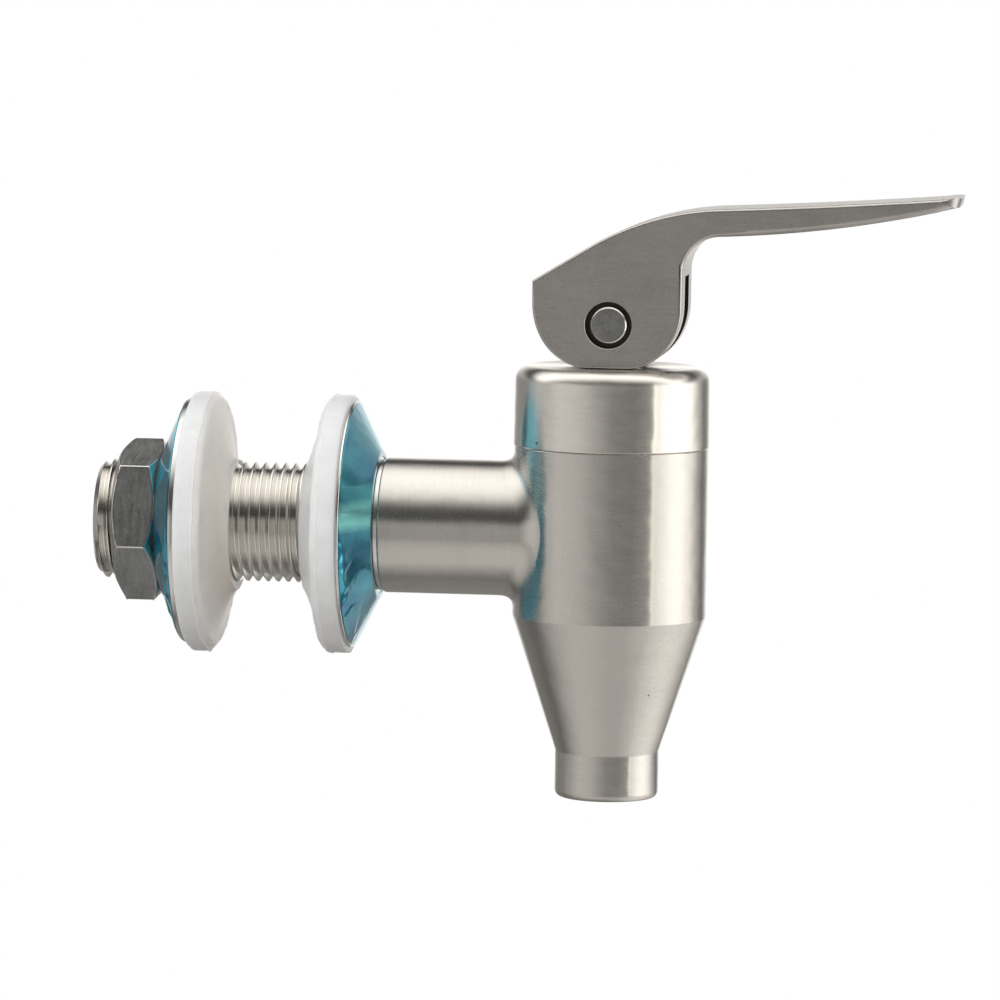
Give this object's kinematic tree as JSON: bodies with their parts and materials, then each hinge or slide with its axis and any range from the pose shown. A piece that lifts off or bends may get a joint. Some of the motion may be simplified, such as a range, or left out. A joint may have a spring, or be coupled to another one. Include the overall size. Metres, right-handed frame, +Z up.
{
  "type": "beverage dispenser spigot",
  "caption": "Stainless push-lever drinks spigot with a threaded shank, dished washers, silicone gaskets and a hex nut for a tank wall.",
  "frame": {"origin": "on the axis of the threaded shank, in the front gasket's sealing face", "axes": "+X from the tank to the barrel and handle tip, +Y across, +Z up"},
  "size_m": [0.1146, 0.0344, 0.081],
  "materials": {
    "brushed_body": "satin brushed stainless, brushed round the axis",
    "brushed_shank": "satin arm and bright turned thread",
    "satin_lever": "satin brushed stainless, brushed along the handle",
    "pin_steel": "cut end with a bright chamfer",
    "turned_steel": "turned",
    "spring_steel": "bright drawn wire",
    "washer_steel": "bright pressed sheet",
    "nut_steel": "machined, darker satin",
    "blue_film": "thin clear blue protective film",
    "silicone": "translucent white silicone"
  },
  "bodies": {
    "spigot": {"valve_body": "brushed_body", "inlet_shank": "brushed_shank", "cap": "brushed_body", "front_gasket": "silicone", "front_washer": "washer_steel", "front_washer_film": "blue_film", "return_spring": "spring_steel", "seat_cup": "silicone"},
    "plunger": {"stem": "turned_steel", "spring_washer": "turned_steel"},
    "handle": {"lever": "satin_lever", "pivot_pin": "pin_steel"},
    "clamp": {"rear_gasket": "silicone", "rear_washer": "washer_steel", "rear_washer_film": "blue_film"},
    "nut": {"hex_nut": "nut_steel"}
  },
  "joints": [
    {"name": "stem_lift", "type": "slide", "parent": "spigot", "child": "plunger", "axis": [0, 0, 1], "range_m": [0, 0.00196], "stiffness_N_per_m": 900, "springref_m": -0.004, "deforming": ["return_spring", "seat_cup"]},
    {"name": "lever_press", "type": "hinge", "parent": "plunger", "child": "handle", "pos_m": [0.038, 0, 0.0277], "axis": [0, 1, 0], "range_deg": [0, 45]},
    {"name": "clamp_slide", "type": "slide", "parent": "spigot", "child": "clamp", "axis": [1, 0, 0], "range_m": [-0.0027, 0.008]},
    {"name": "nut_turn", "type": "hinge", "parent": "clamp", "child": "nut", "pos_m": [-0.0247, 0, 0], "axis": [1, 0, 0], "range_deg": [-710, 2115]}
  ],
  "couplings": [
    {"joint": "lever_press", "follows": "stem_lift", "rad_per_m": 400},
    {"joint": "clamp_slide", "follows": "nut_turn", "m_per_rad": 0.00021645}
  ]
}
